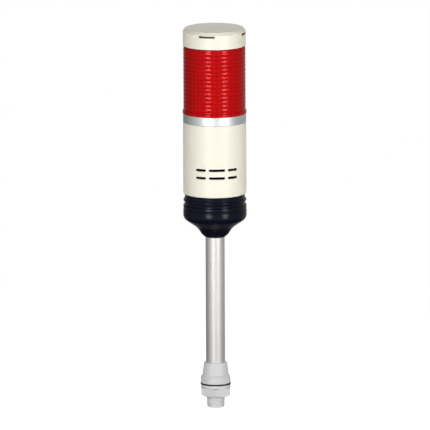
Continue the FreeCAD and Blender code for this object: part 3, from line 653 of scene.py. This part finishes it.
# Painted shade: the cap seal is dark red so that it reads as the shadow line between the cap and
# the red lens.
CAP_SEAL_SHADE_RED = Rubber("cap_seal_shade_rubber", (0.5, 0.1, 0.12), 0.75)
POLE_METAL = Metal("pole_metal", (0.90, 0.895, 0.89), 0.5, contrast=0.06, depth=0.004 * MM)
RING_METAL = Metal("ring_metal", (0.86, 0.885, 0.885), 0.46, lay=Lay.ROUND)
ZINC = Metal("zinc_plate", (0.78, 0.78, 0.80), 0.3, lay=Lay.NONE, lines=900.0)
PLAIN_STEEL = Metal("plain_steel", (0.72, 0.72, 0.72), 0.35, lay=Lay.NONE, lines=900.0)
BRASS = Metal("turned_brass", (0.80, 0.66, 0.38), 0.28, lay=Lay.TURNED)
BOARD_GREEN = Laminate("board_green", (0.08, 0.36, 0.2), 0.35)
BOARD_WHITE = Laminate("board_white", (0.85, 0.85, 0.83), 0.4)
DUST_CLOTH = Gauze("dust_cloth", (0.07, 0.065, 0.06), 0.9)


def level(node: str) -> Span:
    """Lowest and highest z of a node, in metres."""
    low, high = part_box(node)
    return low[2], high[2]


def dress(finish: Finish, *nodes: str) -> None:
    """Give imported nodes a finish.

    Args:
        finish: The finish that they get.
        *nodes: Their names.
    """
    material = finish.material()
    for name in nodes:
        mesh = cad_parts[name].data
        mesh.materials.clear()
        mesh.materials.append(material)
        LOG.info("dressed %s in %s", name, finish.name)


def dress_all(dressing: Dressing) -> None:
    """Give each finish of a table to its nodes."""
    for finish, nodes in dressing:
        dress(finish, *nodes)


def place(bm: bmesh.types.BMesh, name: str, material: bpy.types.Material) -> bpy.types.Object:
    """Turn a bmesh into an object of the scene.

    Args:
        bm: The mesh; it is freed.
        name: The object's name.
        material: Its material.

    Returns:
        The new object.
    """
    mesh = bpy.data.meshes.new(name)
    bm.to_mesh(mesh)
    bm.free()
    mesh.materials.append(material)
    thing = bpy.data.objects.new(name, mesh)
    bpy.context.scene.collection.objects.link(thing)
    return thing


def settle(
    bm: bmesh.types.BMesh, name: str, finish: Finish, smooth: float = 35.0
) -> bpy.types.Object:
    """Clean a finished bmesh and turn it into a piece of the tower.

    Args:
        bm: The mesh; it is freed.
        name: The piece's name.
        finish: Its finish.
        smooth: Edges sharper than this many degrees stay sharp.

    Returns:
        The new object.
    """
    bmesh.ops.remove_doubles(bm, verts=bm.verts[:], dist=MERGE)
    bmesh.ops.recalc_face_normals(bm, faces=bm.faces[:])
    limit = math.radians(smooth)
    for face in bm.faces:
        face.smooth = True
    for edge in bm.edges:
        edge.smooth = len(edge.link_faces) == 2 and edge.calc_face_angle(0.0) < limit
    piece = place(bm, name, finish.material())
    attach(piece, TOWER)
    LOG.info("built %s", name)
    return piece


def spin(
    bm: bmesh.types.BMesh,
    geom: list,
    angle: float,
    steps: int,
    rise: float = 0.0,
    merge: bool = False,
) -> list:
    """Spin vertices and edges about the tower's axis.

    Args:
        bm: The mesh to add to.
        geom: The vertices and edges.
        angle: The whole turn, in radians.
        steps: Facets along it.
        rise: What each step climbs.
        merge: Whether the last step joins the first.

    Returns:
        What the last step made.
    """
    made = bmesh.ops.spin(
        bm,
        geom=geom,
        cent=(0, 0, 0),
        axis=(0, 0, 1),
        dvec=(0, 0, rise),
        angle=angle,
        steps=steps,
        use_merge=merge,
    )
    return made["geom_last"]


def turned(bm: bmesh.types.BMesh, profile: Profile, closed: bool, steps: int = 96) -> None:
    """Spin an outline of (radius, height) points about the tower's axis.

    Args:
        bm: The mesh to add to.
        profile: The outline, in metres.
        closed: Whether the last point joins the first.
        steps: Facets round the axis.
    """
    verts = [bm.verts.new((radius, 0.0, height)) for radius, height in profile]
    pairs = list(zip(verts, verts[1:])) + ([(verts[-1], verts[0])] if closed else [])
    edges = [bm.edges.new(pair) for pair in pairs]
    spin(bm, verts + edges, 2 * math.pi, steps, merge=True)


def rounded(profile: Profile, radii: dict[int, float], steps: int = 5) -> Profile:
    """Round chosen corners of a closed outline.

    Args:
        profile: Corner points, in order.
        radii: Rounding for a corner's number.
        steps: Points along each rounding.

    Returns:
        The outline with its roundings as short arcs.
    """
    result: Profile = []
    count = len(profile)
    for index, corner in enumerate(profile):
        if index not in radii:
            result.append(corner)
            continue
        here = Vector(corner)
        back = (Vector(profile[index - 1]) - here).normalized()
        ahead = (Vector(profile[(index + 1) % count]) - here).normalized()
        half = back.angle(ahead) / 2
        reach = radii[index] / math.tan(half)
        centre = here + (back + ahead).normalized() * (radii[index] / math.sin(half))
        start, stop = here + back * reach - centre, here + ahead * reach - centre
        sweep = start.angle_signed(stop)
        for step in range(steps + 1):
            spoke = Matrix.Rotation(-sweep * step / steps, 2) @ start
            result.append(tuple(centre + spoke))
    return result


def outward(azimuth: float, elevation: float) -> Vector:
    """Point away from the tower.

    Args:
        azimuth: Degrees round the tower, from the front towards its right.
        elevation: Degrees above level.

    Returns:
        The direction, one metre long.
    """
    turn, rise = math.radians(azimuth), math.radians(elevation)
    flat = math.cos(rise)
    return Vector((math.sin(turn) * flat, -math.cos(turn) * flat, math.sin(rise)))


@dataclass(frozen=True)
class Thread:
    """The ridge of a right-hand thread, tapered away at both ends."""

    root: float
    crest: float
    start: float
    pitch: float
    turns: float
    foot_share: float = 0.46
    flat_share: float = 0.08
    sink: float = 0.1 * MM
    facets: int = 48

    def wind(self, bm: bmesh.types.BMesh) -> None:
        """Wind the ridge round the tower's axis.

        Args:
            bm: The mesh to add to.
        """
        inside = self.root - self.sink
        foot, flat = self.pitch * self.foot_share, self.pitch * self.flat_share
        section = [(inside, -foot), (self.crest, -flat), (self.crest, flat), (inside, foot)]
        verts = [bm.verts.new((radius, 0.0, self.start + up)) for radius, up in section]
        edges = [bm.edges.new(pair) for pair in zip(verts, verts[1:] + verts[:1])]
        bm.faces.new(verts)
        before = set(bm.verts) - set(verts)
        total = max(1, round(self.turns * self.facets))
        rise = self.pitch * self.turns / total
        made = spin(bm, verts + edges, 2 * math.pi * self.turns, total, rise)
        last = [item for item in made if isinstance(item, bmesh.types.BMVert)]
        rim = [edge for edge in bm.edges if set(edge.verts) <= set(last)]
        bmesh.ops.contextual_create(bm, geom=last + rim)
        self.taper([vert for vert in bm.verts if vert not in before], inside)

    def taper(self, verts: list[bmesh.types.BMVert], inside: float) -> None:
        """Sink the ridge's two ends into the shank.

        Args:
            verts: The ridge's vertices.
            inside: Radius of its hidden foot.
        """
        top = self.start + self.pitch * self.turns
        for vert in verts:
            radius = math.hypot(vert.co.x, vert.co.y)
            if radius <= inside + TOUCH:
                continue
            rise = (vert.co.z - self.start + self.pitch) / self.pitch
            fall = (top + self.pitch - vert.co.z) / self.pitch
            fade = max(0.0, min(1.0, rise, fall))
            factor = (inside + (radius - inside) * fade) / radius
            vert.co.x *= factor
            vert.co.y *= factor


@dataclass
class PanelClamp:
    """Holder, gasket, washer and nut, which grip the panel."""

    stub_crest: float = 8.0 * MM
    thread_depth: float = 0.55 * MM
    thread_pitch: float = 1.5 * MM
    chamfer: float = 0.8 * MM
    shank: float = 7.8 * MM
    flange: float = 13.15 * MM
    flange_edge: float = 5.4 * MM
    flange_foot_round: float = 0.3 * MM
    flange_round: float = 0.7 * MM
    step: float = 2.2 * MM
    collar_foot: float = 11.6 * MM
    collar_foot_round: float = 1.2 * MM
    collar_mouth: float = 10.2 * MM
    collar_mouth_round: float = 1.2 * MM
    socket: float = 8.55 * MM
    socket_round: float = 0.25 * MM
    cable_way: float = 5.5 * MM
    cable_way_round: float = 0.4 * MM
    facets: int = 128
    clamping: Dressing = (
        (SEAL, ("panel_gasket",)),
        (HOLDER_GREY, ("lock_washer", "lock_nut")),
    )

    def build(self) -> None:
        """Build and dress the clamp."""
        self.holder()
        dress_all(self.clamping)

    def holder(self) -> None:
        """Build the holder's moulding with a real thread on its stub."""
        foot, top = level("pole_holder")
        seat = level("panel_gasket")[1]
        clamp_foot = level("lock_nut")[0]
        socket_floor = level("pole_tube")[0]
        root = self.stub_crest - self.thread_depth
        collar_foot = seat + self.flange_edge + self.step
        corners = [
            (self.cable_way, foot),
            (root - self.chamfer / 2, foot),
            (root, foot + self.chamfer / 2),
            (root, clamp_foot),
            (self.shank, clamp_foot),
            (self.shank, seat),
            (self.flange, seat),
            (self.flange, seat + self.flange_edge),
            (self.collar_foot, collar_foot),
            (self.collar_mouth, top),
            (self.socket, top),
            (self.socket, socket_floor),
            (self.cable_way, socket_floor),
        ]
        roundings = {
            0: self.cable_way_round,
            6: self.flange_foot_round,
            7: self.flange_round,
            8: self.collar_foot_round,
            9: self.collar_mouth_round,
            10: self.socket_round,
        }
        bm = bmesh.new()
        turned(bm, rounded(corners, roundings), closed=True, steps=self.facets)
        turns = (clamp_foot - foot - self.chamfer) / self.thread_pitch - 1.0
        start = foot + self.chamfer + self.thread_pitch / 2
        Thread(root, self.stub_crest, start, self.thread_pitch, turns).wind(bm)
        piece = settle(bm, "holder_moulding", HOLDER_GREY)
        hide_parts("pole_holder")


@dataclass
class PanScrew:
    """A small pan head screw with a cross recess; it points along Y, its head at the back."""

    name: str
    node: str
    shank: float = 1.25 * MM
    head: float = 2.7 * MM
    height: float = 1.6 * MM
    crown_share: float = 0.72
    rounding_share: float = 0.55
    rounding_steps: int = 5
    facets: int = 48
    recess: float = 1.5 * MM
    recess_half: float = 0.34 * MM
    recess_depth: float = 0.9 * MM
    recess_taper: float = 0.7
    recess_arms: int = 4
    sharp: float = 30.0

    def build(self) -> None:
        """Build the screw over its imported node."""
        low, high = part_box(self.node)
        length = high[1] - low[1] - self.height
        bm = bmesh.new()
        crown = self.head * self.crown_share
        disc = bmesh.ops.create_circle(bm, cap_ends=True, radius=crown, segments=self.facets)
        self.cut_recess(bm, disc["verts"][0].link_faces[0])
        self.grow_head(bm)
        self.grow_shank(bm, length)
        turn = Matrix.Rotation(math.radians(-90), 4, "X")
        middle = Vector(((low[0] + high[0]) / 2, high[1] - self.height, (low[2] + high[2]) / 2))
        bmesh.ops.transform(bm, matrix=Matrix.Translation(middle) @ turn, verts=bm.verts[:])
        piece = settle(bm, self.name, ZINC, self.sharp)
        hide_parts(self.node)

    def cut_recess(self, bm: bmesh.types.BMesh, face: bmesh.types.BMFace) -> None:
        """Lift the crown to the head's height and sink the cross into it.

        Args:
            bm: The screw's mesh.
            face: The crown, which lies at zero.
        """
        bmesh.ops.translate(bm, vec=(0, 0, self.height), verts=face.verts[:])
        half = self.recess_half
        corners = []
        for arm in range(self.recess_arms):
            spoke = Matrix.Rotation(2 * math.pi * arm / self.recess_arms, 4, "Z")
            for across, aside in ((self.recess, -half), (self.recess, half), (half, half)):
                corners.append(spoke @ Vector((across, aside, self.height)))
        outline = [bm.verts.new(corner) for corner in corners]
        edges = [bm.edges.new((outline[i - 1], outline[i])) for i in range(len(outline))]
        rim = face.edges[:]
        bmesh.ops.delete(bm, geom=[face], context="FACES_ONLY")
        bmesh.ops.triangle_fill(bm, use_beauty=True, edges=rim + edges, normal=(0, 0, 1))
        inner = [f for f in bm.faces if set(f.verts) <= set(outline)]
        bmesh.ops.delete(bm, geom=inner, context="FACES_ONLY")
        wall = bmesh.ops.extrude_edge_only(bm, edges=edges)["geom"]
        low = [v for v in wall if isinstance(v, bmesh.types.BMVert)]
        bmesh.ops.translate(bm, vec=(0, 0, -self.recess_depth), verts=low)
        bmesh.ops.scale(bm, vec=(self.recess_taper, self.recess_taper, 1.0), verts=low)
        loop = self.loop_of(wall, low)
        bmesh.ops.triangle_fill(bm, use_beauty=True, edges=loop, normal=(0, 0, 1))

    def grow_head(self, bm: bmesh.types.BMesh) -> None:
        """Round the head down to its rim and close its underside up to the shank.

        Args:
            bm: The screw's mesh.
        """
        edges = self.outer_edges(bm, self.height)
        for step in range(1, self.rounding_steps + 1):
            turn = math.pi / 2 * step / self.rounding_steps
            share = self.crown_share + (1.0 - self.crown_share) * math.sin(turn)
            drop = self.height * self.rounding_share * (1 - math.cos(turn))
            edges = self.step_out(bm, edges, self.head * share, self.height - drop)
        edges = self.step_out(bm, edges, self.head, 0.0)
        self.step_out(bm, edges, self.shank, 0.0)

    def grow_shank(self, bm: bmesh.types.BMesh, length: float) -> None:
        """Run the shank down to its flat end.

        Args:
            bm: The screw's mesh.
            length: The shank's length.
        """
        edges = [e for e in bm.edges if e.is_boundary]
        edges = self.step_out(bm, edges, self.shank, -length)
        bmesh.ops.contextual_create(bm, geom=edges)

    @staticmethod
    def outer_edges(bm: bmesh.types.BMesh, height: float) -> Edges:
        """The open edges that lie at a height."""
        return [e for e in bm.edges if e.is_boundary and abs(e.verts[0].co.z - height) < TOUCH]

    @staticmethod
    def loop_of(made: list, verts: list[bmesh.types.BMVert]) -> Edges:
        """The edges, among what an extrusion made, that run between its new vertices."""
        edges = [item for item in made if isinstance(item, bmesh.types.BMEdge)]
        return [edge for edge in edges if set(edge.verts) <= set(verts)]

    @classmethod
    def step_out(cls, bm: bmesh.types.BMesh, edges: Edges, radius: float, height: float) -> Edges:
        """Extrude a ring of edges to a new radius and height.

        Args:
            bm: The screw's mesh.
            edges: The ring.
            radius: Radius of the new ring.
            height: Its height.

        Returns:
            The new ring.
        """
        made = bmesh.ops.extrude_edge_only(bm, edges=edges)["geom"]
        verts = [v for v in made if isinstance(v, bmesh.types.BMVert)]
        for vert in verts:
            turn = math.atan2(vert.co.y, vert.co.x)
            vert.co = (radius * math.cos(turn), radius * math.sin(turn), height)
        return cls.loop_of(made, verts)


@dataclass
class Column:
    """Pole, black base and cap: the rest of the tower."""

    dressing: Dressing = (
        (POLE_METAL, ("pole_tube",)),
        (PLAIN_STEEL, ("pole_washer",)),
        (BRASS, ("pole_nut",)),
        (BASE_BLACK, ("base_cone",)),
        (SEAL, ("base_seal",)),
        (CAP_SEAL_SHADE_RED, ("cap_seal",)),
        (CAP_CREAM, ("top_cap",)),
    )

    def build(self) -> None:
        """Dress the column and build the screw at its holder."""
        dress_all(self.dressing)
        PanScrew("holder_screw_cross", "holder_screw").build()


@dataclass
class Housing:
    """Cream sounder housing, its dust cloth and what it holds."""

    wall: float = 2.0 * MM
    louvre_low: float = 16.6 * MM
    louvre_high: float = 26.2 * MM
    cloth_gap: float = 0.35 * MM
    cloth_margin: float = 2.0 * MM
    cloth_thickness: float = 0.2 * MM
    cloth_half_turn: float = math.radians(44)
    cloth_facets: int = 40
    dressing: Dressing = (
        (CREAM, ("housing",)),
        (BOARD_GREEN, ("control_board",)),
        (CASE_BLACK, ("sounder_case", "rectifier")),
        (BRASS, ("sounder_diaphragm",)),
        (TERMINAL_GREEN, ("terminal_block",)),
        (ZINC, ("terminal_screws",)),
        (SLEEVE_BLUE, ("capacitor",)),
        (NATURAL, ("lamp_socket",)),
    )

    def build(self) -> None:
        """Build and dress the housing."""
        dress_all(self.dressing)
        self.dust_cloth()
        PanScrew("housing_screw_cross", "housing_screw").build()

    def dust_cloth(self) -> None:
        """Build the thin curved cloth inside the louvres."""
        foot, _ = level("housing")
        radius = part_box("trim_ring")[1][0] - self.wall - self.cloth_gap
        low = foot + self.louvre_low - self.cloth_margin
        high = foot + self.louvre_high + self.cloth_margin
        bm = bmesh.new()
        verts = [bm.verts.new((0.0, -radius, z)) for z in (low, high)]
        edge = bm.edges.new(verts)
        start = Matrix.Rotation(-self.cloth_half_turn, 3, "Z")
        bmesh.ops.rotate(bm, cent=(0, 0, 0), matrix=start, verts=verts)
        spin(bm, verts + [edge], 2 * self.cloth_half_turn, self.cloth_facets)
        bmesh.ops.recalc_face_normals(bm, faces=bm.faces[:])
        bmesh.ops.solidify(bm, geom=bm.faces[:], thickness=self.cloth_thickness)
        settle(bm, "louvre_cloth", DUST_CLOTH)


@dataclass
class LensTier:
    """Trim ring, red lens and the lamps inside."""

    red: Colour = (1.0, 0.0, 0.02)
    roughness: float = 0.2
    flutes: int = 40
    ridges: int = 15
    ridge_pitch: float = 3.61 * MM
    rim: float = 3.0 * MM
    neck: float = 9.6 * MM
    boards: int = 4
    rows: int = 4
    dressing: Dressing = (
        (RING_METAL, ("trim_ring",)),
        (SEAL, ("lens_seal",)),
        (WHITE_CARRIER, ("led_carrier",)),
        (ZINC, ("carrier_screws",)),
    )

    def build(self) -> None:
        """Dress the tier."""
        foot, top = level("lens")
        ribbed = top - self.neck - foot - self.rim
        margin = (ribbed - self.ridges * self.ridge_pitch) / 2
        red = ClearRed(
            "clear_red",
            self.red,
            self.roughness,
            flutes=self.flutes,
            ridges=self.ridges,
            ridge_foot=foot + self.rim + margin,
            ridge_pitch=self.ridge_pitch,
        )
        dress(red, "lens")
        dress_all(self.dressing)
        for board in range(1, self.boards + 1):
            dress(BOARD_WHITE, f"led_board_{board}")
            dress(LAMP_RESIN, *(f"led_{board}_{row}" for row in range(1, self.rows + 1)))


@dataclass(frozen=True)
class Lamp:
    """One rectangular studio light that faces the tower."""

    name: str
    azimuth: float
    elevation: float
    distance: float
    width: float
    height: float
    radiance: float
    in_reflections: bool = True

    def build(self, target: Vector) -> None:
        """Place the light.

        Args:
            target: The point that it faces.
        """
        data = bpy.data.lights.new(self.name, "AREA")
        data.shape = "RECTANGLE"
        data.size = self.width
        data.size_y = self.height
        data.energy = self.radiance * math.pi * self.width * self.height
        lamp = bpy.data.objects.new(self.name, data)
        away = outward(self.azimuth, self.elevation)
        lamp.location = target + away * self.distance
        lamp.rotation_euler = away.to_track_quat("Z", "Y").to_euler()
        lamp.visible_camera = False
        lamp.visible_glossy = self.in_reflections
        lamp.visible_transmission = self.in_reflections
        bpy.context.scene.collection.objects.link(lamp)


@dataclass(frozen=True)
class Flags:
    """Grey cloth round the set, paler in front and behind; only reflections show it."""

    lift: float = 10.0 * MM
    gap: float = 0.02
    radius: float = 1.4
    top: float = 2.5
    front: float = 0.66
    front_turn: float = math.radians(-20.0)
    front_fade: Span = (math.radians(45.0), math.radians(105.0))
    left: float = 0.2
    right: float = 0.44
    side_fade: Span = (-1.0, 1.0)
    back: float = 0.4
    back_fade: Span = (math.radians(145.0), math.radians(175.0))
    near_fade: Span = (0.3, 0.75)
    near_shade: float = 0.8
    unseen_by: tuple[str, ...] = ("camera", "diffuse", "transmission", "shadow", "volume_scatter")

    def build(self, floor: float) -> None:
        """Hang the flags round the tower.

        Args:
            floor: Height of the floor.
        """
        low = floor + self.lift
        bm = bmesh.new()
        outline = [(self.gap, low), (self.radius, low), (self.radius, self.top), (0.0, self.top)]
        turned(bm, outline, closed=False)
        material, graph = blank("flags")
        flags = place(bm, "flags", material)
        for ray in self.unseen_by:
            setattr(flags, f"visible_{ray}", False)
        glow = graph.node("ShaderNodeEmission", inputs={"Strength": self.grey(graph)})
        graph.node("ShaderNodeOutputMaterial", inputs={"Surface": glow[0]})

    def grey(self, graph: Graph) -> Signal:
        """Shade the cloth round the tower, and darken it near the tower's foot.

        Args:
            graph: The material's nodes.

        Returns:
            The cloth's brightness.
        """
        across, along, _ = graph.axes()
        turn = across.angle_to(-1.0 * along)
        front = 1.0 - abs(turn - self.front_turn).ramp(*self.front_fade)
        side = self.left + turn.ramp(*self.side_fade) * (self.right - self.left)
        back = abs(turn).ramp(*self.back_fade)
        near = 1.0 - graph.radius().ramp(*self.near_fade)
        shown = side + front * (self.front - side) + back * self.back
        return shown * (1.0 - near * self.near_shade)


@dataclass
class Studio:
    """White floor and surroundings, soft light from the front, and grey flags all round."""

    ambient: float = 0.3
    white: Linear = (1.0, 1.0, 1.0, 1.0)
    floor_drop: float = 0.12
    floor_size: float = 12.0
    floor_cells: int = 4
    floor_paint: Linear = (0.9, 0.9, 0.9, 1.0)
    floor_glow: float = 0.5
    floor_fade: Span = (0.25, 1.2)
    flags: Flags = Flags()
    middle: float = 0.17
    lamps: tuple[Lamp, ...] = (
        Lamp("left_strip", -26.0, 6.5, 1.1, 0.31, 0.46, 10.4),
        Lamp("right_strip", 33.0, 6.5, 1.1, 0.31, 0.46, 9.4),
        Lamp("front_fill", -4.0, 12.0, 1.6, 1.2, 1.2, 0.15, in_reflections=False),
        Lamp("back_fill", 176.0, 25.0, 1.6, 1.2, 1.2, 1.8, in_reflections=False),
        Lamp("back_strip", 150.0, 8.0, 1.1, 0.15, 1.0, 3.0, in_reflections=False),
    )

    def build(self) -> None:
        """Set up the studio."""
        self.surroundings()
        low = cad_box[0][2] - self.floor_drop
        self.floor(low)
        self.flags.build(low)
        for lamp in self.lamps:
            lamp.build(Vector((0.0, 0.0, self.middle)))

    def brightness(self, seen: Signal) -> Signal:
        """Full white where it is seen, and the dim light of the room elsewhere."""
        return self.ambient + seen * (1.0 - self.ambient)

    def surroundings(self) -> None:
        """Set white behind the tower, and an even dim light from all round."""
        world = bpy.data.worlds.new("studio")
        bpy.context.scene.world = world
        world.use_nodes = True
        graph = Graph(world.node_tree)
        inputs = {"Color": self.white, "Strength": self.brightness(graph.seen())}
        back = graph.node("ShaderNodeBackground", inputs=inputs)
        graph.node("ShaderNodeOutputWorld", inputs={"Surface": back["Background"]})

    def floor(self, low: float) -> None:
        """Lay a pale floor that keeps the tower's shadow and fades into the white.

        Args:
            low: Height of the floor.
        """
        cells = self.floor_cells
        bm = bmesh.new()
        bmesh.ops.create_grid(bm, x_segments=cells, y_segments=cells, size=self.floor_size / 2)
        material, graph = blank("floor")
        floor = place(bm, "floor", material)
        floor.location.z = low
        away = graph.radius().ramp(*self.floor_fade)
        seen = graph.seen()
        paint = graph.node("ShaderNodeBsdfDiffuse", inputs={"Color": self.floor_paint})
        glow = graph.node("ShaderNodeEmission", inputs={"Strength": seen * self.floor_glow})
        lit = graph.node("ShaderNodeAddShader", inputs={0: paint["BSDF"], 1: glow["Emission"]})
        far = graph.node("ShaderNodeEmission", inputs={"Strength": self.brightness(seen)})
        mix = graph.node("ShaderNodeMixShader", inputs={0: away, 1: lit[0], 2: far["Emission"]})
        graph.node("ShaderNodeOutputMaterial", inputs={"Surface": mix[0]})


@dataclass
class Camera:
    """Long lens, a little above and to the left of the louvres' middle."""

    azimuth: float = -4.1
    elevation: float = 10.8
    roll: float = -0.24
    distance: float = 12.0
    sensor: float = 36.0
    view_width: float = 0.3823
    reach: float = 60.0
    target: tuple[float, float, float] = (0.0, 0.0, 0.1528)

    def build(self) -> None:
        """Place the camera and make it the scene's own."""
        data = bpy.data.cameras.new("camera")
        data.sensor_width = self.sensor
        data.lens = self.sensor * self.distance / self.view_width
        data.clip_end = self.reach
        away = outward(self.azimuth, self.elevation)
        camera = bpy.data.objects.new("camera", data)
        camera.location = Vector(self.target) + away * self.distance
        look = away.to_track_quat("Z", "Y")
        spin = Matrix.Rotation(math.radians(self.roll), 3, "Z").to_quaternion()
        camera.rotation_euler = (look @ spin).to_euler()
        bpy.context.scene.collection.objects.link(camera)
        bpy.context.scene.camera = camera


def main() -> None:
    """Build the tower's sub-assemblies in order, then the studio and the camera."""
    logging.basicConfig(level=logging.INFO, format="%(name)s: %(message)s")
    bpy.context.scene.view_settings.view_transform = "Standard"
    for assembly in (PanelClamp(), Column(), Housing(), LensTier(), Studio(), Camera()):
        assembly.build()
        LOG.info("finished %s", type(assembly).__name__)


if __name__ == "__main__":
    main()
